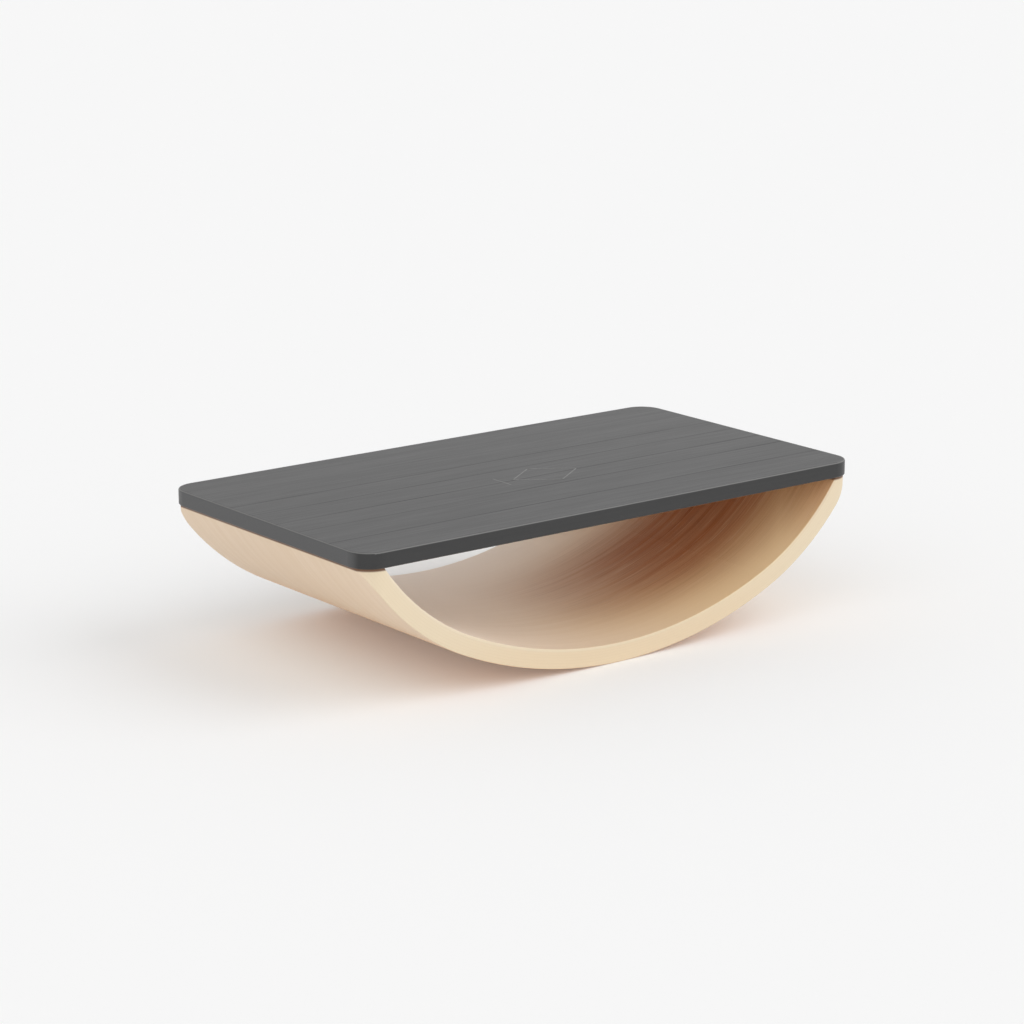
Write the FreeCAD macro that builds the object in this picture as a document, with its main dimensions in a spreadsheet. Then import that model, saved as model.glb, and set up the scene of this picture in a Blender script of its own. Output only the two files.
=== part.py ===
import FreeCAD, Part
import math
import os
import Sketcher

# Rocker board: a flat stained deck, edge-glued from staves, on a bentwood rocker that is glued up
# from curved laminations. Blind dowels tie the rocker's two ends to the deck, and the whole board
# rocks on the floor as one rigid piece.
#
# Millimetres. The origin is on the floor under the middle of the board, +X runs along the deck's
# length, +Y across it and +Z up. The rocker's curve lies in the XZ plane and doesn't change across
# the width.

SIZES = [
    # deck
    ("deck_length", 700),
    ("deck_width", 378),
    ("deck_thickness", 18),
    ("deck_underside", 162),
    ("corner_radius", 28),
    ("top_round", 2),
    ("under_chamfer", 1),
    # widths of the deck's staves from front (-Y) to back; the last one takes what is left
    ("stave_1_width", 62),
    ("stave_2_width", 59),
    ("stave_3_width", 41),
    ("stave_4_width", 47),
    ("stave_5_width", 43),
    # rocker
    ("overhang", 2),
    ("bottom_radius", 525),
    ("bottom_half_angle", 24.4),
    ("shoulder_radius", 300),
    ("lamination", 3.2),
    ("rocker_round", 1.2),
    ("stock_margin", 50),
    # dowels
    ("dowel_diameter", 8),
    ("dowel_in_deck", 12),
    ("dowel_in_rocker", 13),
    ("dowel_end_chamfer", 1),
    ("dowel_inset", 20),
    ("glue_gap", 0.1),
    ("glue_well", 1),
]
STAVES = 6
LAMINATIONS = 7
# The dowels stand in the rocker's inner laminations and stay clear of both its faces.
DOWELLED_LAMINATIONS = range(2, 7)
# Where the dowels stand across each stave, as fractions of its width: one in the middle, and two
# in the widest stave.
DOWELS_ACROSS = {stave: [1 / 2] for stave in range(1, STAVES)}
DOWELS_ACROSS[STAVES] = [1 / 4, 3 / 4]
ENDS = {"left": -1, "right": 1}

# Sketcher's own numbers for a sketch's origin and axes, and for a curve's points
ORIGIN = X_AXIS = -1
Y_AXIS = -2
START, END, CENTRE = 1, 2, 3
CLOSE = 1e-4

doc = FreeCAD.newDocument("rocker_board")
sheet = doc.addObject("Spreadsheet::Sheet", "sizes")
for row, (alias, size) in enumerate(SIZES, start=1):
    sheet.set(f"A{row}", alias)
    sheet.set(f"B{row}", str(size))
    sheet.setAlias(f"B{row}", alias)
doc.recompute()


def size(alias):
    """The number that the sheet holds under an alias."""
    return float(sheet.get(alias))


def in_sheet(formula):
    """The full expression for a formula that writes each of the sheet's aliases as $alias."""
    return formula.replace("$", "<<sizes>>.")


def bind(thing, path, formula):
    """Bind one property to a formula in the sheet's aliases."""
    thing.setExpression(path, in_sheet(formula))


def new_body(label):
    """A body whose label is the piece's name."""
    body = doc.addObject("PartDesign::Body", label)
    body.Label = label
    return body


def new_sketch(body, plane, name):
    """A sketch on one of the body's own origin planes."""
    sketch = body.newObject("Sketcher::SketchObject", name)
    role = {feature.Role: feature for feature in body.Origin.OriginFeatures}[plane]
    sketch.AttachmentSupport = [(role, "")]
    sketch.MapMode = "FlatFace"
    return sketch


def dimension(sketch, name, formula, kind, *where):
    """Add one sketch dimension and bind it to the sheet."""
    now = float(sketch.evalExpression(in_sheet(formula)))
    index = sketch.addConstraint(Sketcher.Constraint(kind, *where, now))
    sketch.renameConstraint(index, name)
    bind(sketch, "Constraints." + name, formula)


def point(x, y):
    """A point in a sketch."""
    return FreeCAD.Vector(x, y, 0)


def join(sketch, curves):
    """Tie the curves' ends into one closed loop, each one's end to the next one's start."""
    for curve, following in zip(curves, curves[1:] + curves[:1]):
        sketch.addConstraint(Sketcher.Constraint("Coincident", curve, END, following, START))


def rectangle(sketch, half_x, low_y, high_y, upright=True):
    """A rectangle drawn as bottom, right, top and left lines, and centred on the Y axis."""
    corners = [(-half_x, low_y), (half_x, low_y), (half_x, high_y), (-half_x, high_y)]
    sides = [
        sketch.addGeometry(Part.LineSegment(point(*a), point(*b)), False)
        for a, b in zip(corners, corners[1:] + corners[:1])
    ]
    join(sketch, sides)
    bottom, right, top, left = sides
    sketch.addConstraint(Sketcher.Constraint("Symmetric", bottom, START, bottom, END, Y_AXIS))
    sketch.addConstraint(Sketcher.Constraint("Horizontal", top))
    sketch.addConstraint(Sketcher.Constraint("Vertical", left))
    if upright:
        sketch.addConstraint(Sketcher.Constraint("Vertical", right))
    return sides


def solve(sketch):
    """Solve a sketch, and stop if anything in it is still free to move."""
    doc.recompute()
    if sketch.solve() != 0 or not sketch.FullyConstrained:
        raise RuntimeError(f"{sketch.Name} isn't fully set by its dimensions")


def edge_names(body, wanted):
    """Names of the body's edges that pass a test."""
    return [f"Edge{number}" for number, edge in enumerate(body.Shape.Edges, start=1) if wanted(edge)]


def dress(body, kind, name, edges, path, formula):
    """Add a fillet or chamfer on some edges of the body's latest feature."""
    latest = body.Tip
    feature = body.newObject(kind, name)
    feature.Base = (latest, edges)
    bind(feature, path, formula)
    doc.recompute()


def pocket(body, sketch, name, upward, depth=None):
    """Cut a sketch out of the body, all the way through or to a depth, and check that it cut."""
    before = body.Shape.Volume
    cut = body.newObject("PartDesign::Pocket", name)
    cut.Profile = sketch
    cut.Reversed = upward
    if depth is None:
        cut.Type = "ThroughAll"
    else:
        cut.Type = "Length"
        bind(cut, "Length", depth)
    doc.recompute()
    if not cut.Shape.Volume < before - CLOSE:
        raise RuntimeError(f"{name} of {body.Label} cuts nothing")


# ---------------------------------------------------------------------------------------- staves

def stave_start(stave):
    """Formula for a stave's front face, from the middle of the deck."""
    return "-$deck_width / 2" + "".join(f" + $stave_{n}_width" for n in range(1, stave))


def stave_width(stave):
    """Formula for a stave's width."""
    if stave < STAVES:
        return f"$stave_{stave}_width"
    return "$deck_width" + "".join(f" - $stave_{n}_width" for n in range(1, STAVES))


def dowel_rows():
    """Formulas for the Y of each dowel, with the stave that holds it."""
    for stave, fractions in DOWELS_ACROSS.items():
        for fraction in fractions:
            yield stave, f"{stave_start(stave)} + {fraction} * ({stave_width(stave)})"


def dowel_holes(body, name, rows, upward, depth):
    """Blind holes from the deck's underside, at both ends of the board."""
    sketch = new_sketch(body, "XY_Plane", name + "_sketch")
    bind(sketch, "AttachmentOffset.Base.z", "$deck_underside")
    along = size("deck_length") / 2 - size("dowel_inset")
    hole_radius = (size("dowel_diameter") + size("glue_gap")) / 2
    for number, row in enumerate(rows):
        for end, side in ENDS.items():
            hole = Part.Circle(point(side * along, 0), FreeCAD.Vector(0, 0, 1), hole_radius)
            circle = sketch.addGeometry(hole, False)
            label = f"{end}_{number}"
            dimension(sketch, "size_" + label, "$dowel_diameter + $glue_gap", "Diameter", circle)
            dimension(
                sketch, "along_" + label, f"{side} * ($deck_length / 2 - $dowel_inset)",
                "DistanceX", ORIGIN, START, circle, CENTRE,
            )
            dimension(sketch, "across_" + label, row, "DistanceY", ORIGIN, START, circle, CENTRE)
    solve(sketch)
    pocket(body, sketch, name, upward, depth)


def make_stave(stave):
    """One stave: a plank as long as the deck, with the deck's corners and arrises worked on it."""
    body = new_body(f"deck_stave_{stave}")
    outline = new_sketch(body, "XY_Plane", "outline")
    bind(outline, "AttachmentOffset.Base.z", "$deck_underside")
    bind(outline, "AttachmentOffset.Base.y", stave_start(stave))
    rim_x = size("deck_length") / 2
    rim_y = size("deck_width") / 2
    bottom, right, _, _ = rectangle(outline, rim_x, 0, rim_y)
    outline.addConstraint(Sketcher.Constraint("PointOnObject", bottom, START, X_AXIS))
    dimension(outline, "length", "$deck_length", "DistanceX", bottom, START, bottom, END)
    dimension(outline, "width", stave_width(stave), "DistanceY", right, START, right, END)
    solve(outline)
    plank = body.newObject("PartDesign::Pad", "plank")
    plank.Profile = outline
    bind(plank, "Length", "$deck_thickness")
    doc.recompute()

    radius = size("corner_radius")
    under = size("deck_underside")
    top_face = under + size("deck_thickness")

    def at_corner(edge):
        middle = edge.BoundBox.Center
        return abs(middle.z - (under + top_face) / 2) < CLOSE and abs(abs(middle.y) - rim_y) < CLOSE

    def on_rim(edge, height):
        """True for an edge at this height along the deck's own outline."""
        box = edge.BoundBox
        if abs(box.ZMin - height) > CLOSE or abs(box.ZMax - height) > CLOSE:
            return False
        middle = edge.valueAt((edge.FirstParameter + edge.LastParameter) / 2)
        corner_x = max(abs(middle.x) - (rim_x - radius), 0)
        corner_y = max(abs(middle.y) - (rim_y - radius), 0)
        if corner_x and corner_y:
            return abs(math.hypot(corner_x, corner_y) - radius) < CLOSE
        return abs(abs(middle.x) - rim_x) < CLOSE or abs(abs(middle.y) - rim_y) < CLOSE

    if stave in (1, STAVES):
        dress(body, "PartDesign::Fillet", "corners", edge_names(body, at_corner), "Radius", "$corner_radius")
    rim = edge_names(body, lambda edge: on_rim(edge, top_face))
    dress(body, "PartDesign::Fillet", "top_arris", rim, "Radius", "$top_round")
    rim = edge_names(body, lambda edge: on_rim(edge, under))
    dress(body, "PartDesign::Chamfer", "under_arris", rim, "Size", "$under_chamfer")

    rows = [row for holder, row in dowel_rows() if holder == stave]
    dowel_holes(body, "dowel_holes", rows, True, "$dowel_in_deck + $glue_well")
    return body


# --------------------------------------------------------------------------------------- rocker

def arc_of(centre, radius, start, end):
    """An arc drawn anticlockwise between two angles, in degrees from +X."""
    circle = Part.Circle(point(*centre), FreeCAD.Vector(0, 0, 1), radius)
    return Part.ArcOfCircle(circle, math.radians(start), math.radians(end))


def shoulder_centre():
    """Where the shoulder arc is struck from, along the rocker and up."""
    turn = math.radians(size("bottom_half_angle"))
    gap = size("bottom_radius") - size("shoulder_radius")
    return gap * math.sin(turn), size("bottom_radius") - gap * math.cos(turn)


def depth_at(place):
    """How deep a point lies in the rocker, measured square in from its outer face."""
    step, rise = shoulder_centre()
    bottom = size("bottom_radius")
    if abs(place.x) > bottom * math.sin(math.radians(size("bottom_half_angle"))):
        return size("shoulder_radius") - math.hypot(abs(place.x) - step, place.z - rise)
    return bottom - math.hypot(place.x, place.z - bottom)


def on_trim(place):
    """True for a point on the vertical walls that the rocker's trimmed outline makes."""
    radius = size("corner_radius") - size("overhang")
    past_x = max(abs(place.x) - (size("deck_length") / 2 - size("corner_radius")), 0)
    past_y = max(abs(place.y) - (size("deck_width") / 2 - size("corner_radius")), 0)
    return abs(math.hypot(past_x, past_y) - radius) < CLOSE


def make_lamination(number):
    """One lamination: a strip as wide as the rocker, bent to its own pair of offset curves.

    Its profile runs along a large arc under the middle and a smaller tangent arc up to each end,
    and both ends are cut level, where the deck rests on them. Number 1 is the outer face.
    """
    body = new_body(f"rocker_lamination_{number}")
    profile = new_sketch(body, "XZ_Plane", "profile")
    straight_down = -90
    turn = size("bottom_half_angle")
    bottom = size("bottom_radius")
    shoulder = size("shoulder_radius")
    height = size("deck_underside")
    step, rise = shoulder_centre()

    curves = []
    for offset in (number - 1, number):
        depth = offset * size("lamination")
        level = -math.degrees(math.asin((rise - height) / (shoulder - depth)))
        curves.append([
            arc_of((-step, rise), shoulder - depth, -180 - level, straight_down - turn),
            arc_of((0, bottom), bottom - depth, straight_down - turn, straight_down + turn),
            arc_of((step, rise), shoulder - depth, straight_down + turn, level),
        ])
    outer, inner = ([profile.addGeometry(arc, False) for arc in arcs] for arcs in curves)
    for left, middle, right in (outer, inner):
        profile.addConstraint(Sketcher.Constraint("Tangent", left, END, middle, START))
        profile.addConstraint(Sketcher.Constraint("Tangent", middle, END, right, START))
    for outside, inside in zip(outer, inner):
        profile.addConstraint(Sketcher.Constraint("Coincident", outside, CENTRE, inside, CENTRE))
    left, middle, right = outer
    profile.addConstraint(Sketcher.Constraint("PointOnObject", middle, CENTRE, Y_AXIS))
    profile.addConstraint(Sketcher.Constraint("Symmetric", left, START, right, END, Y_AXIS))
    profile.addConstraint(Sketcher.Constraint("Equal", left, right))

    for side, tip, place in ((0, "StartPoint", START), (2, "EndPoint", END)):
        tips = [getattr(arcs[side], tip) for arcs in curves]
        cut = profile.addGeometry(Part.LineSegment(*tips), False)
        profile.addConstraint(Sketcher.Constraint("Horizontal", cut))
        profile.addConstraint(Sketcher.Constraint("Coincident", cut, START, outer[side], place))
        profile.addConstraint(Sketcher.Constraint("Coincident", cut, END, inner[side], place))

    outer_radius = f"$bottom_radius - {number - 1} * $lamination"
    dimension(profile, "centre_height", "$bottom_radius", "DistanceY", ORIGIN, START, middle, CENTRE)
    dimension(profile, "outer_radius", outer_radius, "Radius", middle)
    dimension(profile, "inner_radius", outer_radius + " - $lamination", "Radius", inner[1])
    dimension(profile, "end_radius", f"$shoulder_radius - {number - 1} * $lamination", "Radius", right)
    dimension(
        profile, "tangent_point", f"({outer_radius}) * sin($bottom_half_angle * 1 deg)",
        "DistanceX", ORIGIN, START, right, START,
    )
    dimension(profile, "level_cut", "$deck_underside", "DistanceY", ORIGIN, START, right, END)
    solve(profile)

    bend = body.newObject("PartDesign::Pad", "bend")
    bend.Profile = profile
    bend.SideType = "Symmetric"
    bind(bend, "Length", "$deck_width")
    doc.recompute()

    # trim it to the deck's outline, less the overhang
    trim = new_sketch(body, "XY_Plane", "trim_sketch")
    stock_x = size("deck_length") / 2 + size("stock_margin")
    stock_y = size("deck_width") / 2 + size("stock_margin")
    stock = rectangle(trim, stock_x, -stock_y, stock_y, upright=False)
    trim.addConstraint(Sketcher.Constraint("Symmetric", stock[1], START, stock[1], END, X_AXIS))
    for name, side, kind in (("length", stock[0], "DistanceX"), ("width", stock[1], "DistanceY")):
        dimension(trim, "stock_" + name, f"$deck_{name} + 2 * $stock_margin", kind, side, START, side, END)
    rounded_outline(trim)
    solve(trim)
    pocket(body, trim, "trim", True)

    # the rocker's two faces have eased edges, and these lie on the first and last laminations
    if number in (1, LAMINATIONS):
        face = 0 if number == 1 else number * size("lamination")

        def on_face_rim(edge):
            middle = edge.valueAt((edge.FirstParameter + edge.LastParameter) / 2)
            return middle.z < height - CLOSE and abs(depth_at(middle) - face) < CLOSE and on_trim(middle)

        rim = edge_names(body, on_face_rim)
        dress(body, "PartDesign::Fillet", "eased_edges", rim, "Radius", "$rocker_round")

    if number in DOWELLED_LAMINATIONS:
        rows = [row for _, row in dowel_rows()]
        dowel_holes(body, "dowel_holes", rows, False, "$dowel_in_rocker + $glue_well")
    return body


def rounded_outline(sketch):
    """The rocker's outline in plan: the deck's own, set in by the overhang."""
    half_x = size("deck_length") / 2 - size("overhang")
    half_y = size("deck_width") / 2 - size("overhang")
    radius = size("corner_radius") - size("overhang")
    x, y = half_x - radius, half_y - radius
    lines, arcs = [], []
    for ends, centre, start in (
        (((-x, -half_y), (x, -half_y)), (x, -y), -90),
        (((half_x, -y), (half_x, y)), (x, y), 0),
        (((x, half_y), (-x, half_y)), (-x, y), 90),
        (((-half_x, y), (-half_x, -y)), (-x, -y), 180),
    ):
        lines.append(sketch.addGeometry(Part.LineSegment(*(point(*end) for end in ends)), False))
        arcs.append(sketch.addGeometry(arc_of(centre, radius, start, start + 90), False))
    for line, arc, following in zip(lines, arcs, lines[1:] + lines[:1]):
        sketch.addConstraint(Sketcher.Constraint("Tangent", line, END, arc, START))
        sketch.addConstraint(Sketcher.Constraint("Tangent", arc, END, following, START))
    for arc in arcs[1:]:
        sketch.addConstraint(Sketcher.Constraint("Equal", arcs[0], arc))
    front, right, back, left = lines
    sketch.addConstraint(Sketcher.Constraint("Symmetric", front, START, front, END, Y_AXIS))
    sketch.addConstraint(Sketcher.Constraint("Symmetric", right, START, right, END, X_AXIS))
    sketch.addConstraint(Sketcher.Constraint("Horizontal", back))
    sketch.addConstraint(Sketcher.Constraint("Vertical", left))
    dimension(sketch, "corner", "$corner_radius - $overhang", "Radius", arcs[0])
    dimension(sketch, "half_length", "$deck_length / 2 - $overhang", "DistanceX", ORIGIN, START, right, START)
    dimension(sketch, "half_width", "$deck_width / 2 - $overhang", "DistanceY", front, START, ORIGIN, START)


# --------------------------------------------------------------------------------------- dowels

def make_dowels(end, side):
    """The row of dowels at one end of the board, each one standing in the rocker and the deck."""
    dowels = []
    for number, (_, row) in enumerate(dowel_rows(), start=1):
        rod = doc.addObject("Part::Cylinder", f"{end}_rod_{number}")
        bind(rod, "Radius", "$dowel_diameter / 2")
        bind(rod, "Height", "$dowel_in_rocker + $dowel_in_deck")
        bind(rod, "Placement.Base.x", f"{side} * ($deck_length / 2 - $dowel_inset)")
        bind(rod, "Placement.Base.y", row)
        bind(rod, "Placement.Base.z", "$deck_underside - $dowel_in_rocker")
        doc.recompute()
        rims = [n for n, edge in enumerate(rod.Shape.Edges, start=1) if edge.isClosed()]
        dowel = doc.addObject("Part::Chamfer", f"{end}_dowel_{number}")
        dowel.Base = rod
        chamfer = size("dowel_end_chamfer")
        dowel.Edges = [(rim, chamfer, chamfer) for rim in rims]
        dowels.append(dowel)
    group = doc.addObject("Part::Compound", f"dowels_{end}")
    group.Label = f"dowels_{end}"
    group.Links = dowels
    return group


# ---------------------------------------------------------------------------------------- build

pieces = [make_stave(stave) for stave in range(1, STAVES + 1)]
pieces += [make_lamination(number) for number in range(1, LAMINATIONS + 1)]
pieces += [make_dowels(end, side) for end, side in ENDS.items()]
doc.recompute()

failed = [thing.Label for thing in doc.Objects if {"Invalid", "Error"} & set(thing.State)]
if failed:
    raise RuntimeError(f"these objects failed: {failed}")
for piece in pieces:
    if piece.Shape.isNull() or not piece.Shape.isValid():
        raise RuntimeError(f"{piece.Label} has no valid shape")

os.makedirs("parts", exist_ok=True)
for piece in pieces:
    piece.Shape.exportStep(f"parts/{piece.Label}.step")
    box = piece.Shape.BoundBox
    print(
        f"{piece.Label:22} solids {len(piece.Shape.Solids)}  volume {piece.Shape.Volume / 1000:9.2f} cm3  "
        f"X {box.XMin:8.2f} {box.XMax:8.2f}  Y {box.YMin:8.2f} {box.YMax:8.2f}  Z {box.ZMin:7.2f} {box.ZMax:7.2f}"
    )
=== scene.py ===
"""A rocker board: a dark-stained deck of glued staves on a pale bentwood rocker.

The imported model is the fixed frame, in metres, with +X along the board, +Y to its back and +Z up. Each CAD
node keeps its shape and gets the finish of its own piece of wood here. The centre mark and the studio are
built around them.
"""

from __future__ import annotations

import logging
import math
from dataclasses import dataclass
from enum import Enum
from typing import Any, Sequence, Union

import bmesh
import bpy
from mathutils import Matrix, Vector


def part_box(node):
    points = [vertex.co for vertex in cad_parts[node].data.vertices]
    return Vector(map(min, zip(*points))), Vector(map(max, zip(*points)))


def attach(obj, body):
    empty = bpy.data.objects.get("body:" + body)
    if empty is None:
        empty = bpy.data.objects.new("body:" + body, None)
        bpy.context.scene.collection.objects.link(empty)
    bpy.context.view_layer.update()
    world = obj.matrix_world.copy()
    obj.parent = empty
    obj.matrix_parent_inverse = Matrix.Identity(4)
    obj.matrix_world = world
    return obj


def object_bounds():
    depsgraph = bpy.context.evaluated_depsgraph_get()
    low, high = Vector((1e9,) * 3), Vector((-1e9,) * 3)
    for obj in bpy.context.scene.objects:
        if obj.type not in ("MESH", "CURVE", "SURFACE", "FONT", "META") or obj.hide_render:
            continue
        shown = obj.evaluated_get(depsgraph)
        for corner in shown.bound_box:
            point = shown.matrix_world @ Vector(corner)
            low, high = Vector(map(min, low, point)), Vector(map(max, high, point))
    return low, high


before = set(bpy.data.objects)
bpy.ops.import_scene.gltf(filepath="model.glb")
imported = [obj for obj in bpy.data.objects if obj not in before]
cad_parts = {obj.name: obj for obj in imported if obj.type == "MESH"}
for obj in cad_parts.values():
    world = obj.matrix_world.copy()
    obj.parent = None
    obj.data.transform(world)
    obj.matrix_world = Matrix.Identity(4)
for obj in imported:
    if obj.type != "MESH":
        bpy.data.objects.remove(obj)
cad_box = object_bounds()

BODY = "root"
MILLIMETRE = 0.001

Colour = tuple[float, float, float]
Span = tuple[float, float]
Operand = Union["Term", float]

log = logging.getLogger("rocker_board")


class Face(Enum):
    """The way that a lamination's wide face turns: up into the rocker, or down to the floor."""

    INNER = "inner"
    OUTER = "outer"


def rgba(colour: Colour) -> tuple[float, float, float, float]:
    """A colour with full opacity."""
    return (*colour, 1.0)


class Term:
    """A socket that takes part in Python arithmetic: each operator adds a Math node."""

    def __init__(self, shader: Shader, socket: bpy.types.NodeSocket) -> None:
        """Wraps one output socket of a shader's node tree."""
        self.shader = shader
        self.socket = socket

    def _math(self, operation: str, *operands: Operand) -> Term:
        """A Math node with these operands, in order."""
        return self.shader.add("ShaderNodeMath", {"operation": operation}, dict(enumerate(operands)))

    def __add__(self, other: Operand) -> Term:
        """Sum."""
        return self._math("ADD", self, other)

    __radd__ = __add__

    def __sub__(self, other: Operand) -> Term:
        """Difference."""
        return self._math("SUBTRACT", self, other)

    def __rsub__(self, other: Operand) -> Term:
        """Difference from a number."""
        return self._math("SUBTRACT", other, self)

    def __mul__(self, other: Operand) -> Term:
        """Product."""
        return self._math("MULTIPLY", self, other)

    __rmul__ = __mul__

    def __truediv__(self, other: Operand) -> Term:
        """Quotient."""
        return self._math("DIVIDE", self, other)

    def __rtruediv__(self, other: Operand) -> Term:
        """A number divided by this."""
        return self._math("DIVIDE", other, self)

    def __pow__(self, other: Operand) -> Term:
        """Power."""
        return self._math("POWER", self, other)

    def __gt__(self, other: Operand) -> Term:
        """1 where this is more than the other, and 0 elsewhere."""
        return self._math("GREATER_THAN", self, other)

    def __abs__(self) -> Term:
        """Size without its sign."""
        return self._math("ABSOLUTE", self)

    def angle_from(self, other: Operand) -> Term:
        """The angle whose sine goes with this and whose cosine goes with the other."""
        return self._math("ARCTAN2", self, other)

    def least(self, other: Operand) -> Term:
        """The smaller of two."""
        return self._math("MINIMUM", self, other)

    def most(self, other: Operand) -> Term:
        """The larger of two."""
        return self._math("MAXIMUM", self, other)

    def nearest(self) -> Term:
        """The nearest whole number."""
        return self._math("ROUND", self)

    def rise(self, low: float, high: float) -> Term:
        """A smooth step, 0 at low and 1 at high. It falls where low is more than high.

        Args:
            low: the value where the step is 0.
            high: the value where the step is 1.

        Returns:
            The step, from 0 to 1.
        """
        start, end = min(low, high), max(low, high)
        step = self.shader.add(
            "ShaderNodeMapRange",
            {"interpolation_type": "SMOOTHSTEP"},
            {"Value": self, "From Min": start, "From Max": end},
            "Result",
        )
        return step if low < high else 1.0 - step


class Shader:
    """The node tree of a material or a sky, with one method that adds any node."""

    def __init__(self, owner: bpy.types.Material | bpy.types.World) -> None:
        """Starts on the owner's node tree, emptied.

        Args:
            owner: the material or sky whose nodes these are.
        """
        owner.use_nodes = True
        self.owner = owner
        self.tree = owner.node_tree
        self.tree.nodes.clear()

    @classmethod
    def for_material(cls, name: str) -> Shader:
        """Starts a new material."""
        return cls(bpy.data.materials.new(name))

    @staticmethod
    def _find(sockets: Any, key: int | str) -> bpy.types.NodeSocket:
        """Looks a socket up.

        Args:
            sockets: a node's inputs or outputs.
            key: the socket's place, identifier or name.

        Returns:
            The first socket that fits.
        """
        if isinstance(key, int):
            return sockets[key]
        return next(s for s in sockets if key in (s.identifier, s.name))

    def add(
        self,
        kind: str,
        settings: dict[str, Any] | None = None,
        inputs: dict[int | str, Any] | None = None,
        output: int | str = 0,
    ) -> Term:
        """Adds a node.

        Args:
            kind: the node's type.
            settings: its properties, set first.
            inputs: values or terms for its sockets, by place, identifier or name.
            output: the socket that the term stands for.

        Returns:
            The chosen output as a term.
        """
        node = self.tree.nodes.new(kind)
        for name, value in (settings or {}).items():
            setattr(node, name, value)
        for key, value in (inputs or {}).items():
            socket = self._find(node.inputs, key)
            if isinstance(value, Term):
                self.tree.links.new(value.socket, socket)
            else:
                socket.default_value = value
        return Term(self, self._find(node.outputs, output))

    def place(self) -> tuple[Term, Term, Term]:
        """The point's place in the frame, in metres, as its X, Y and Z."""
        return self._split(self.add("ShaderNodeTexCoord", output="Object"))

    def direction(self) -> tuple[Term, Term, Term]:
        """The way from the scene to a point of the sky, as X, Y and Z."""
        return self._split(self.add("ShaderNodeTexCoord", output="Generated"))

    def facing(self) -> tuple[Term, Term, Term]:
        """The way that the surface faces, as X, Y and Z."""
        return self._split(self.add("ShaderNodeTexCoord", output="Normal"))

    def _split(self, vector: Term) -> tuple[Term, Term, Term]:
        """Takes a vector apart.

        Args:
            vector: the vector.

        Returns:
            Its X, Y and Z.
        """
        parts = self.add("ShaderNodeSeparateXYZ", inputs={0: vector})
        outputs = parts.socket.node.outputs
        return Term(self, outputs[0]), Term(self, outputs[1]), Term(self, outputs[2])

    def noise(
        self, along: Operand, across: Operand, deep: Operand, detail: float, rough: float = 0.5
    ) -> Term:
        """Noise from 0 to 1 whose grains are one unit of each part long.

        Args:
            along: place along the grain, in grains.
            across: place across the grain, in grains.
            deep: place through the wood, in grains.
            detail: how many finer octaves it has.
            rough: the share that each finer octave keeps.

        Returns:
            The noise, mostly between 0.3 and 0.7.
        """
        vector = self.add("ShaderNodeCombineXYZ", inputs={0: along, 1: across, 2: deep})
        settings = {"Vector": vector, "Scale": 1.0, "Detail": detail, "Roughness": rough}
        return self.add("ShaderNodeTexNoise", inputs=settings)

    def mix(self, factor: Operand, first: Term | Colour, second: Term | Colour) -> Term:
        """Blends two colours.

        Args:
            factor: how much of the second, from 0 to 1.
            first: the colour at 0.
            second: the colour at 1.

        Returns:
            The blended colour.
        """
        colours = [c if isinstance(c, Term) else rgba(c) for c in (first, second)]
        return self.add(
            "ShaderNodeMix",
            {"data_type": "RGBA", "clamp_factor": True},
            {"Factor_Float": factor, "A_Color": colours[0], "B_Color": colours[1]},
            "Result_Color",
        )

    def finish(
        self, surface: dict[str, Any], relief: Term | None = None, depth: float = 0.0
    ) -> bpy.types.Material:
        """Closes the material with a Principled surface.

        Args:
            surface: values and terms for the surface's sockets.
            relief: the height that its bump follows.
            depth: the height, in metres, that a relief of 1 stands for.

        Returns:
            The material.
        """
        if relief is not None:
            heights = {"Strength": 1.0, "Distance": depth, "Height": relief}
            surface = {**surface, "Normal": self.add("ShaderNodeBump", inputs=heights)}
        self.close("ShaderNodeOutputMaterial", self.add("ShaderNodeBsdfPrincipled", inputs=surface))
        return self.owner

    def close(self, kind: str, shade: Term) -> None:
        """Links a shade to an output node of this kind."""
        output = self.tree.nodes.new(kind)
        self.tree.links.new(shade.socket, output.inputs["Surface"])


@dataclass(frozen=True)
class Grain:
    """The size of a wood's figure, in metres, along and across the grain.

    The whole figure sways gently from side to side, in waves whose length and width are given in bands.
    """

    band_length: float
    band_width: float
    fibre_length: float
    fibre_width: float
    sway: float
    wave_lengths: float = 3.0
    wave_widths: float = 8.0

    def draw(self, shader: Shader, along: Term, across: Term, deep: Term, seed: float) -> tuple[Term, Term]:
        """Draws growth bands and fibres.

        Args:
            shader: the material's tree.
            along: place along the grain, in metres.
            across: place across the grain, in metres.
            deep: place through the wood, in metres.
            seed: a number that moves the figure, so that no two pieces share it.

        Returns:
            The bands and the fibres, each about 0.5 on average.
        """
        wave_length, wave_width = self.wave_lengths * self.band_length, self.wave_widths * self.band_width
        drift = shader.noise(along / wave_length + seed, across / wave_width, seed, detail=1.0)
        swayed = across + (drift - 0.5) * self.sway
        bands = shader.noise(
            along / self.band_length + seed,
            swayed / self.band_width,
            deep / self.band_width + seed,
            detail=3.0,
            rough=0.55,
        )
        fibres = shader.noise(
            along / self.fibre_length + seed,
            swayed / self.fibre_width,
            deep / self.fibre_width,
            detail=3.0,
            rough=0.6,
        )
        return bands, fibres


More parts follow.
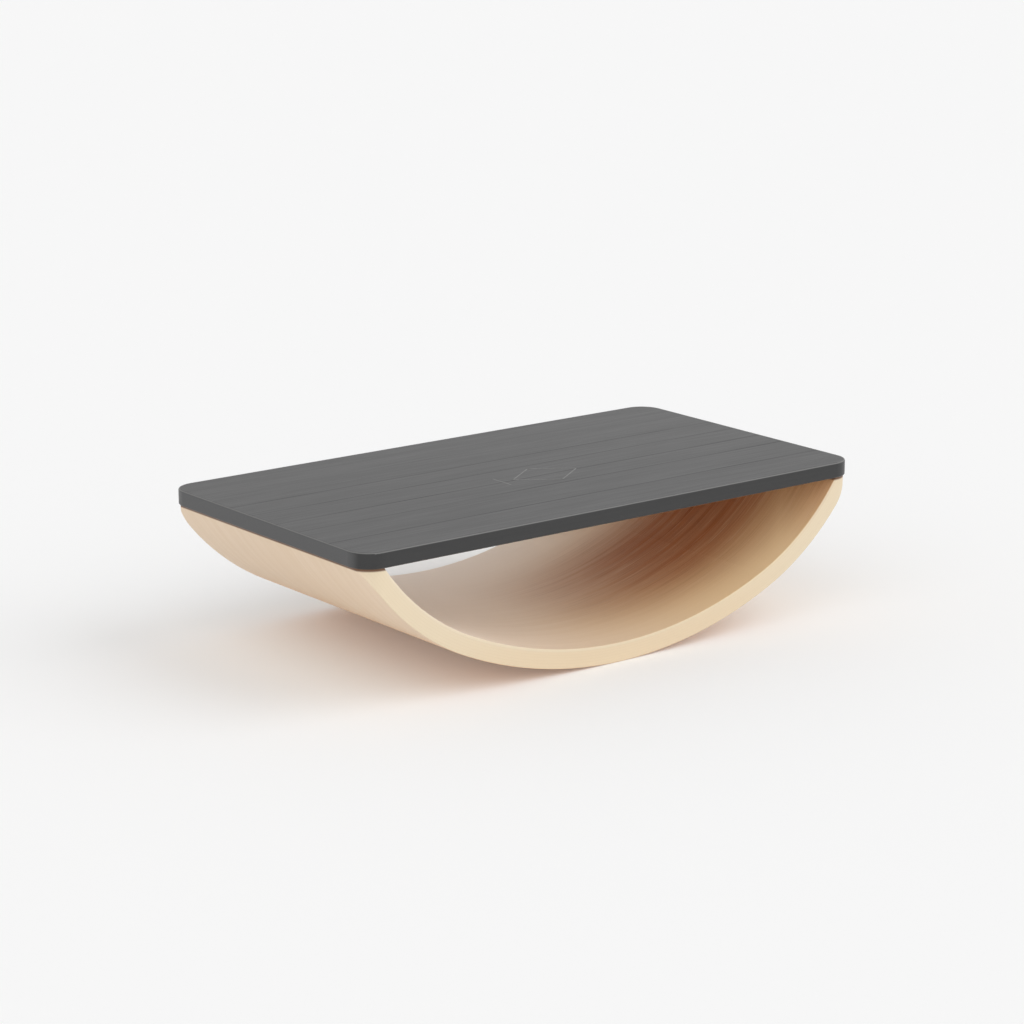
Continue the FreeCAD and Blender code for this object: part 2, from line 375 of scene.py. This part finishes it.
@dataclass(frozen=True)
class DeckStain:
    """A dark stain under a satin lacquer, which lets the grain through.

    Each span gives the two values between which a tone comes in. Those of the end, flank, top, under and
    arris are parts of the surface's own direction: along the board for the end, and upward for the rest. The
    darker flank is painted shade on the upright sides, the lighter end is painted light on the end faces,
    and the light arris is a painted highlight.
    """

    dark: Colour = (0.018, 0.018, 0.0183)
    light: Colour = (0.044, 0.0435, 0.043)
    joint: Colour = (0.004, 0.004, 0.004)
    # Painted light: a lighter grey for the faces that look along the board.
    painted_end_light: Colour = (0.062, 0.062, 0.063)
    # Painted highlight: a light grey along the rounded top arris.
    painted_highlight: Colour = (0.180, 0.178, 0.174)
    bare: Colour = (0.84, 0.74, 0.62)
    band_span: Span = (0.30, 0.70)
    fibre_span: Span = (0.32, 0.68)
    band_share: float = 0.45
    end_span: Span = (0.85, 1.0)
    # Painted shade: the upright sides are darkened towards the stain's dark tone.
    flank_shade_span: Span = (0.50, 0.20)
    top_span: Span = (0.5, 0.9)
    under_span: Span = (-0.80, -0.95)
    arris_span: Span = (0.35, 0.60)
    arris_end_span: Span = (0.99, 0.88)
    flank_shade_share: float = 0.7
    arris_highlight_share: float = 0.8
    joint_share: float = 0.24
    joint_reach: float = 1.8 * MILLIMETRE
    joint_core: float = 0.36 * MILLIMETRE
    fade_length: float = 0.22
    fade_width: float = 0.030
    fade_span: Span = (0.36, 0.62)
    fade_least: float = 0.25
    satin: float = 0.36
    fibre_rough: float = 0.10
    joint_rough: float = 0.15
    refraction: float = 1.5
    relief: float = 0.10 * MILLIMETRE
    fibre_relief: float = 0.6
    grain: Grain = Grain(
        band_length=0.55, band_width=0.016, fibre_length=0.090, fibre_width=0.0011, sway=0.010
    )

    def material(self, name: str, seed: float, tone: float, joints: Sequence[float]) -> bpy.types.Material:
        """The finish of one stave.

        Args:
            name: the material's name.
            seed: moves the figure from stave to stave.
            tone: how much lighter this stave is, as a share.
            joints: the places across the deck where a glued joint shows, in metres.

        Returns:
            The material.
        """
        shader = Shader.for_material(name)
        along, across, up = shader.place()
        end_way, _, up_way = shader.facing()
        bands, fibres = self.grain.draw(shader, along, across, up, seed)
        lines = fibres.rise(*self.fibre_span)
        figure = bands.rise(*self.band_span) * self.band_share + lines * (1.0 - self.band_share)
        groove = self._groove(shader, along, across, joints, seed) * up_way.rise(*self.top_span)
        arris = up_way.rise(*self.arris_span) * up_way.rise(*self.arris_end_span)
        colour = shader.mix(figure + tone, self.dark, self.light)
        # Painted shade: the upright sides are pulled towards the dark stain.
        colour = shader.mix(abs(up_way).rise(*self.flank_shade_span) * self.flank_shade_share, colour, self.dark)
        # Painted light: the end faces are made a lighter grey.
        colour = shader.mix(abs(end_way).rise(*self.end_span), colour, self.painted_end_light)
        # Painted highlight on the rounded top arris.
        colour = shader.mix(arris * self.arris_highlight_share, colour, self.painted_highlight)
        colour = shader.mix(groove * self.joint_share, colour, self.joint)
        colour = shader.mix(up_way.rise(*self.under_span), colour, self.bare)
        surface = {
            "Base Color": colour,
            "Roughness": self.satin + lines * self.fibre_rough + groove * self.joint_rough,
            "IOR": self.refraction,
        }
        return shader.finish(surface, fibres * self.fibre_relief - groove, self.relief)

    def _groove(
        self, shader: Shader, along: Term, across: Term, joints: Sequence[float], seed: float
    ) -> Operand:
        """Draws the glued joints, which come and go along the board.

        Args:
            shader: the material's tree.
            along: place along the board, in metres.
            across: place across the board, in metres.
            joints: the places across the deck where a joint shows, in metres.
            seed: moves the stretches where they fade.

        Returns:
            How strongly a joint shows, from 0 to 1.
        """
        groove: Operand = 0.0
        for joint in joints:
            groove = abs(across - joint).rise(self.joint_reach, self.joint_core) + groove
        fading = shader.noise(along / self.fade_length, across / self.fade_width, seed, detail=2.0)
        return groove * (fading.rise(*self.fade_span) * (1.0 - self.fade_least) + self.fade_least)


@dataclass(frozen=True)
class BentCurve:
    """The rocker's outer profile: a bottom arc that runs into a tighter shoulder arc at each end."""

    bottom_radius: float = 0.525
    half_angle: float = math.radians(24.4)
    shoulder_radius: float = 0.300

    @property
    def shoulder_centre(self) -> tuple[float, float]:
        """The shoulder arc's centre, as X and Z."""
        spare = self.bottom_radius - self.shoulder_radius
        return spare * math.sin(self.half_angle), self.bottom_radius - spare * math.cos(self.half_angle)

    def unroll(self, shader: Shader) -> tuple[Term, Term, Term, Term]:
        """Unrolls the bent wood into a flat board, so that its grain follows the bend.

        Args:
            shader: the material's tree.

        Returns:
            The place along the bend from the middle, with its sign, the place across, the depth under the
            outer face and the height above the floor, all in metres.
        """
        x, y, z = shader.place()
        centre_x, centre_z = self.shoulder_centre
        reach = abs(x)
        bottom_angle = reach.angle_from(self.bottom_radius - z)
        shoulder_angle = (reach - centre_x).angle_from(centre_z - z)
        bottom_run = bottom_angle.least(self.half_angle) * self.bottom_radius
        shoulder_run = (shoulder_angle - self.half_angle).most(0.0) * self.shoulder_radius
        right = x > 0.0
        along = (bottom_run + shoulder_run) * (right * 2.0 - 1.0)
        bottom_depth = self.bottom_radius - (reach**2.0 + (self.bottom_radius - z) ** 2.0) ** 0.5
        shoulder_depth = self.shoulder_radius - ((reach - centre_x) ** 2.0 + (centre_z - z) ** 2.0) ** 0.5
        on_shoulder = bottom_angle > self.half_angle
        deep = bottom_depth + (shoulder_depth - bottom_depth) * on_shoulder
        return along, y, deep, z


@dataclass(frozen=True)
class PaleWood:
    """A pale, clear-oiled hardwood."""

    pale: Colour = (0.800, 0.640, 0.482)
    dark: Colour = (0.715, 0.545, 0.375)
    band_span: Span = (0.34, 0.72)
    fibre_span: Span = (0.30, 0.70)
    band_share: float = 0.34
    fibre_share: float = 0.15
    satin: float = 0.50
    fibre_rough: float = 0.12
    refraction: float = 1.45
    relief: float = 0.06 * MILLIMETRE
    grain: Grain = Grain(
        band_length=0.45, band_width=0.010, fibre_length=0.120, fibre_width=0.0013, sway=0.010
    )

    def figure(
        self, shader: Shader, along: Term, across: Term, deep: Term, seed: float
    ) -> tuple[Term, Term]:
        """The wood's colour and its fibres.

        Args:
            shader: the material's tree.
            along: place along the grain, in metres.
            across: place across the grain, in metres.
            deep: place through the wood, in metres.
            seed: moves the figure from piece to piece.

        Returns:
            The colour, and the fibres from 0 to 1.
        """
        bands, fibres = self.grain.draw(shader, along, across, deep, seed)
        fibres = fibres.rise(*self.fibre_span)
        figure = bands.rise(*self.band_span) * self.band_share + fibres * self.fibre_share
        return shader.mix(figure, self.pale, self.dark), fibres

    def close(self, shader: Shader, colour: Term, fibres: Term) -> bpy.types.Material:
        """Puts the oiled surface on a colour.

        Args:
            shader: the material's tree.
            colour: the wood's colour.
            fibres: its fibres, from 0 to 1.

        Returns:
            The material.
        """
        rough = self.satin + fibres * self.fibre_rough
        surface = {"Base Color": colour, "Roughness": rough, "IOR": self.refraction}
        return shader.finish(surface, fibres, self.relief)

    def straight(self, name: str, seed: float) -> bpy.types.Material:
        """The finish of a piece whose grain runs straight up, such as a dowel.

        Args:
            name: the material's name.
            seed: moves the figure from piece to piece.

        Returns:
            The material.
        """
        shader = Shader.for_material(name)
        x, y, z = shader.place()
        return self.close(shader, *self.figure(shader, z, x, y, seed))


@dataclass(frozen=True)
class HeartwoodAndShade:
    """The inner face's colour: the wood's figure, with painted light and shade laid over it.

    It turns a painted lighter, silvery grey towards the left and back, and a painted warm honey towards the
    front right, with a red-brown heart that is partly the wood's own and partly painted shade and warm
    interreflection under the deck's ends. The spans of the silver, honey, heart, end and tip are in metres,
    along the bend from the middle to the right, or across the board to the back. Those of the streaks, veins
    and flecks are values of their noise. The tip is the last stretch under the deck, where the heart runs
    across the whole width as painted shade.
    """

    # Painted light: a lighter, greyer tone towards the left and back of the inner face.
    painted_silver_light: Colour = (0.91, 0.81, 0.725)
    # Painted warm shade: a darker honey tone towards the front right of the inner face.
    painted_honey_warmth: Colour = (0.74, 0.530, 0.290)
    heart_and_shade: Colour = (0.39, 0.136, 0.044)
    vein: Colour = (0.20, 0.060, 0.022)
    silver_span: Span = (0.20, -0.16)
    silver_slant: float = 1.2
    silver_share: float = 0.85
    honey_along: Span = (-0.10, 0.20)
    honey_across: Span = (0.00, -0.12)
    honey_share: float = 0.8
    heart_along: Span = (-0.06, 0.23)
    heart_front: Span = (-0.18, -0.045)
    heart_back: Span = (0.13, 0.01)
    # Painted shade: the red-brown deepens towards the ends, under the deck.
    end_shade_along: Span = (0.15, 0.33)
    end_shade_share: float = 0.62
    # Painted shade: the whole width just under the deck turns red-brown.
    tip_shade_along: Span = (0.26, 0.38)
    tip_shade_share: float = 0.50
    streak_length: float = 0.40
    streak_width: float = 0.007
    streak_span: Span = (0.38, 0.62)
    streak_share: float = 0.12
    fleck_length: float = 0.060
    fleck_width: float = 0.0022
    fleck_span: Span = (0.56, 0.72)
    fleck_share: float = 0.20
    vein_length: float = 0.110
    vein_width: float = 0.0010
    vein_span: Span = (0.50, 0.66)
    vein_share: float = 0.45

    def over(
        self, shader: Shader, wood: Term, fleck: Colour, along: Term, across: Term, seed: float
    ) -> Term:
        """Lays the figure over a wood.

        Args:
            shader: the material's tree.
            wood: the wood's own colour.
            fleck: the colour of the light flecks in the heart.
            along: place along the bend from the middle, in metres.
            across: place across the board, in metres.
            seed: moves the streaks, the veins and the flecks.

        Returns:
            The colour.
        """
        streaks = shader.noise(along / self.streak_length, across / self.streak_width, seed, detail=3.0)
        flecks = shader.noise(along / self.fleck_length, across / self.fleck_width, seed, detail=2.0)
        veins = shader.noise(along / self.vein_length, across / self.vein_width, seed, detail=2.0)
        painted_silver_light = (along - across * self.silver_slant).rise(*self.silver_span)
        painted_honey_warmth = along.rise(*self.honey_along) * across.rise(*self.honey_across)
        # Painted shade: the red-brown deepens towards the ends under the deck, and across the whole width in
        # the tip.
        end = along.rise(*self.end_shade_along) * self.end_shade_share
        heart_and_shade = (along.rise(*self.heart_along) * across.rise(*self.heart_back)).most(end)
        heart_and_shade = (heart_and_shade * across.rise(*self.heart_front)).most(along.rise(*self.tip_shade_along) * self.tip_shade_share)
        depth = streaks.rise(*self.streak_span) * self.streak_share + (1.0 - self.streak_share)
        # Painted light: lighter and greyer towards the left and back.
        colour = shader.mix(painted_silver_light * self.silver_share, wood, self.painted_silver_light)
        # Painted warm shade towards the front right.
        colour = shader.mix(painted_honey_warmth * self.honey_share, colour, self.painted_honey_warmth)
        # The red-brown is partly the wood's heart and partly painted shade.
        colour = shader.mix(heart_and_shade * depth, colour, self.heart_and_shade)
        colour = shader.mix(veins.rise(*self.vein_span) * heart_and_shade * self.vein_share, colour, self.vein)
        return shader.mix(flecks.rise(*self.fleck_span) * heart_and_shade * self.fleck_share, colour, fleck)


@dataclass(frozen=True)
class BentWood(PaleWood):
    """Pale wood bent to the rocker's curve, with its grain along the bend.

    The spans of the foot and the seam are heights above the floor, in metres, and the cut edge's span is
    the part of the surface's direction that lies across the board. The foot's warm, darker tone is painted
    shade near the floor, and the seam's dark brown band is a painted shadow under the deck's edge.
    """

    curve: BentCurve = BentCurve()
    heartwood_and_shade: HeartwoodAndShade = HeartwoodAndShade()
    lamination: float = 3.2 * MILLIMETRE
    glue_reach: float = 0.18 * MILLIMETRE
    glue: Colour = (0.60, 0.44, 0.27)
    glue_share: float = 0.35
    edge: Colour = (0.745, 0.632, 0.454)
    edge_span: Span = (0.35, 0.95)
    edge_share: float = 0.85
    # Painted shade: the outer face turns darker and warmer towards the floor.
    foot_shade: Colour = (0.76, 0.42, 0.19)
    foot_shade_span: Span = (0.085, 0.015)
    foot_shade_share: float = 0.95
    # Painted shadow: a dark brown band along the rocker's top, under the deck's edge.
    seam_shadow: Colour = (0.150, 0.075, 0.040)
    seam_shadow_span: Span = (0.1580, 0.1602)

    def bent(self, name: str, seed: float, face: Face) -> bpy.types.Material:
        """The finish of one lamination.

        Args:
            name: the material's name.
            seed: moves the figure from lamination to lamination.
            face: the way that its wide face turns.

        Returns:
            The material.
        """
        shader = Shader.for_material(name)
        along, across, deep, height = self.curve.unroll(shader)
        colour, fibres = self.figure(shader, along, across, deep, seed)
        if face is Face.INNER:
            # The inner face also carries painted light and shade under the deck.
            colour = self.heartwood_and_shade.over(shader, colour, self.pale, along, across, seed)
        else:
            # Painted warm shade towards the floor, on the outer faces.
            colour = shader.mix(height.rise(*self.foot_shade_span) * self.foot_shade_share, colour, self.foot_shade)
        _, side, _ = shader.facing()
        cut = abs(side).rise(*self.edge_span)
        layer = deep / self.lamination
        from_glue = abs(layer - layer.nearest()) * self.lamination
        glue = from_glue.rise(self.glue_reach, 0.0) * cut
        colour = shader.mix(cut * self.edge_share, colour, self.edge)
        colour = shader.mix(glue * self.glue_share, colour, self.glue)
        # Painted shadow along the top of the rocker, under the deck's overhanging edge.
        colour = shader.mix(height.rise(*self.seam_shadow_span), colour, self.seam_shadow)
        return self.close(shader, colour, fibres)


@dataclass
class Deck:
    """Six edge-glued staves, stained dark."""

    staves: int = 6
    edge_clear: float = 1.0 * MILLIMETRE
    seed_step: float = 11.3
    stain: DeckStain = DeckStain()
    tones: tuple[float, ...] = (0.06, -0.04, 0.05, -0.06, 0.03, 0.0)

    def dress(self) -> None:
        """Gives each stave its own figure and tone."""
        low, high = cad_box
        for number in range(1, self.staves + 1):
            name = f"deck_stave_{number}"
            front, back = (corner.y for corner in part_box(name))
            joints = [y for y in (front, back) if low.y + self.edge_clear < y < high.y - self.edge_clear]
            tone, seed = self.tones[number - 1], self.seed_step * number
            dress_node(name, self.stain.material(f"{name}_stain", seed, tone, joints))


@dataclass
class Mark:
    """A plain lozenge and a short bar, printed a little proud of the deck's middle."""

    centre: tuple[float, float] = (0.020, -0.024)
    half_length: float = 0.046
    half_width: float = 0.032
    bar_place: tuple[float, float] = (-0.042, -0.024)
    bar_half_width: float = 0.016
    line: float = 1.7 * MILLIMETRE
    proud: float = 0.08 * MILLIMETRE
    sunk: float = 0.10 * MILLIMETRE
    ink: Colour = (0.150, 0.148, 0.142)
    worn_ink: Colour = (0.090, 0.0888, 0.0852)
    wear_length: float = 0.006
    wear_width: float = 0.0015
    wear_span: Span = (0.35, 0.65)
    wear_share: float = 0.5
    wear_rough: float = 0.1
    satin: float = 0.36
    refraction: float = 1.5

    def build(self) -> None:
        """Builds the mark's strokes as one thin raised piece."""
        x, y = self.centre
        length, width = self.half_length, self.half_width
        tips = [(x + length, y), (x, y + width), (x - length, y), (x, y - width)]
        strokes = list(zip(tips, tips[1:] + tips[:1]))
        bar_x, bar_y = self.bar_place
        strokes.append(((bar_x, bar_y - self.bar_half_width), (bar_x, bar_y + self.bar_half_width)))
        shape = bmesh.new()
        for start, end in strokes:
            self._stroke(shape, Vector((*start, 0.0)), Vector((*end, 0.0)))
        bmesh.ops.recalc_face_normals(shape, faces=shape.faces)
        mesh = bpy.data.meshes.new("deck_mark")
        shape.to_mesh(mesh)
        shape.free()
        mesh.materials.append(self._material())
        mark = bpy.data.objects.new("deck_mark", mesh)
        bpy.context.scene.collection.objects.link(mark)
        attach(mark, BODY)
        log.info("built %s with %d strokes", mark.name, len(strokes))

    def _stroke(self, shape: bmesh.types.BMesh, start: Vector, end: Vector) -> None:
        """Adds one straight stroke, which runs half a line's width past each end.

        Args:
            shape: the mesh that it is added to.
            start: the middle of the line where it starts, at height 0.
            end: the middle of the line where it ends, at height 0.
        """
        _, high = cad_box
        along = (end - start).normalized() * self.line / 2
        across = Vector((-along.y, along.x, 0.0))
        first_end, last_end = start - along, end + along
        outline = [first_end - across, last_end - across, last_end + across, first_end + across]
        low, top = Vector((0.0, 0.0, high.z - self.sunk)), Vector((0.0, 0.0, high.z + self.proud))
        under = [shape.verts.new(point + low) for point in outline]
        over = [shape.verts.new(point + top) for point in outline]
        shape.faces.new(under)
        shape.faces.new(over)
        for corner in range(len(outline)):
            before = corner - 1
            shape.faces.new((under[before], under[corner], over[corner], over[before]))

    def _material(self) -> bpy.types.Material:
        """A thin satin ink, a little lighter than the stain and slightly worn.

        Returns:
            The material.
        """
        shader = Shader.for_material("mark_ink")
        along, across, _ = shader.place()
        wear = shader.noise(along / self.wear_length, across / self.wear_width, 0.0, detail=3.0)
        wear = wear.rise(*self.wear_span)
        surface = {
            "Base Color": shader.mix(wear * self.wear_share, self.ink, self.worn_ink),
            "Roughness": self.satin + wear * self.wear_rough,
            "IOR": self.refraction,
        }
        return shader.finish(surface)


@dataclass
class Rocker:
    """Seven laminations of pale wood, glued up round a curved form."""

    laminations: int = 7
    seed_step: float = 7.7
    wood: BentWood = BentWood()

    def dress(self) -> None:
        """Gives each lamination its own figure, with the heartwood and the painted light and shade on the
        innermost one.
        """
        for number in range(1, self.laminations + 1):
            name = f"rocker_lamination_{number}"
            face = Face.INNER if number == self.laminations else Face.OUTER
            dress_node(name, self.wood.bent(f"{name}_wood", self.seed_step * number, face))


@dataclass
class Dowels:
    """The turned pins that hold the deck on the rocker."""

    seed: float = 3.1
    wood: PaleWood = PaleWood()

    def dress(self) -> None:
        """Gives both rows the same turned wood."""
        for side in ("left", "right"):
            dress_node(f"dowels_{side}", self.wood.straight(f"dowels_{side}_wood", self.seed))


def dress_node(name: str, material: bpy.types.Material) -> None:
    """Puts a material on a CAD node, in its object's own slot.

    Args:
        name: the node's name.
        material: its new finish.
    """
    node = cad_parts[name]
    for holder in node.material_slots:
        holder.link = "OBJECT"
        holder.material = material
    log.info("dressed %s with %s", name, material.name)


def towards(azimuth: float, elevation: float) -> Vector:
    """The way from the object to a lamp or a viewer at these angles, in degrees."""
    turn, rise = math.radians(azimuth), math.radians(elevation)
    return Vector((math.sin(turn) * math.cos(rise), -math.cos(turn) * math.cos(rise), math.sin(rise)))


@dataclass(frozen=True)
class Lamp:
    """A broad soft lamp far away: its strength, where it stands and how wide it looks, in degrees."""

    name: str
    strength: float
    azimuth: float
    elevation: float
    spread: float


@dataclass
class Studio:
    """A pale floor, soft light from in front and above, and the camera.

    Lengths are in metres and angles in degrees. The camera looks along a line through the middle of the
    deck's top, and then slides to its right and lifts.
    """

    floor_half: float = 15.0
    floor_rough: float = 0.9
    floor_gloss: float = 0.1
    floor_colour: Colour = (0.86, 0.86, 0.86)
    floor_glow: float = 0.088
    horizon: float = 1.17
    zenith: float = 0.72
    glow_span: Span = (0.90, 0.20)
    lamps: tuple[Lamp, ...] = (
        Lamp("key", strength=0.86, azimuth=45.0, elevation=38.0, spread=50.0),
        Lamp("fill", strength=0.56, azimuth=-58.0, elevation=42.0, spread=60.0),
    )
    lens: float = 107.5
    sensor: float = 36.0
    azimuth: float = -37.85
    elevation: float = 14.39
    distance: float = 3.4966
    slide: float = -0.00707
    lift: float = -0.04515
    nearest: float = 0.05

    def floor(self) -> None:
        """Lays a plain pale floor, lit a little from under it, so that shadows stay soft."""
        mesh = bpy.data.meshes.new("floor")
        half = self.floor_half
        corners = [(-half, -half, 0.0), (half, -half, 0.0), (half, half, 0.0), (-half, half, 0.0)]
        mesh.from_pydata(corners, [], [(0, 1, 2, 3)])
        shader = Shader.for_material("floor_paint")
        surface = {
            "Base Color": rgba(self.floor_colour),
            "Roughness": self.floor_rough,
            "Specular IOR Level": self.floor_gloss,
            "Emission Color": rgba((1.0, 1.0, 1.0)),
            "Emission Strength": self.floor_glow,
        }
        mesh.materials.append(shader.finish(surface))
        floor = bpy.data.objects.new("floor", mesh)
        bpy.context.scene.collection.objects.link(floor)

    def light(self) -> None:
        """Lights the scene with a sky that is brighter near the horizon, and broad soft lamps."""
        scene = bpy.context.scene
        scene.world = bpy.data.worlds.new("studio_sky")
        sky = Shader(scene.world)
        _, _, height = sky.direction()
        glow = self.zenith + height.rise(*self.glow_span) * (self.horizon - self.zenith)
        sky.close("ShaderNodeOutputWorld", sky.add("ShaderNodeBackground", inputs={"Strength": glow}))
        for lamp in self.lamps:
            data = bpy.data.lights.new(lamp.name, "SUN")
            data.energy = lamp.strength
            data.angle = math.radians(lamp.spread)
            light = bpy.data.objects.new(lamp.name, data)
            light.rotation_mode = "QUATERNION"
            light.rotation_quaternion = (-towards(lamp.azimuth, lamp.elevation)).to_track_quat("-Z", "Y")
            scene.collection.objects.link(light)
        scene.view_settings.view_transform = "Standard"

    def camera(self) -> None:
        """Sets up the camera."""
        _, high = cad_box
        data = bpy.data.cameras.new("camera")
        data.lens = self.lens
        data.sensor_width = self.sensor
        data.clip_start, data.clip_end = self.nearest, 4.0 * self.floor_half
        camera = bpy.data.objects.new("camera", data)
        back = towards(self.azimuth, self.elevation)
        right = Vector((0.0, 0.0, 1.0)).cross(back).normalized()
        up = back.cross(right)
        offset = back * self.distance + right * self.slide + up * self.lift
        camera.location = Vector((0.0, 0.0, high.z)) + offset
        camera.rotation_mode = "QUATERNION"
        camera.rotation_quaternion = (-back).to_track_quat("-Z", "Y")
        bpy.context.scene.collection.objects.link(camera)
        bpy.context.scene.camera = camera


def main() -> None:
    """Builds the studio and dresses the board, piece by piece."""
    logging.basicConfig(level=logging.INFO, format="%(message)s")
    studio = Studio()
    studio.camera()
    studio.floor()
    studio.light()
    Deck().dress()
    Rocker().dress()
    Dowels().dress()
    Mark().build()


if __name__ == "__main__":
    main()
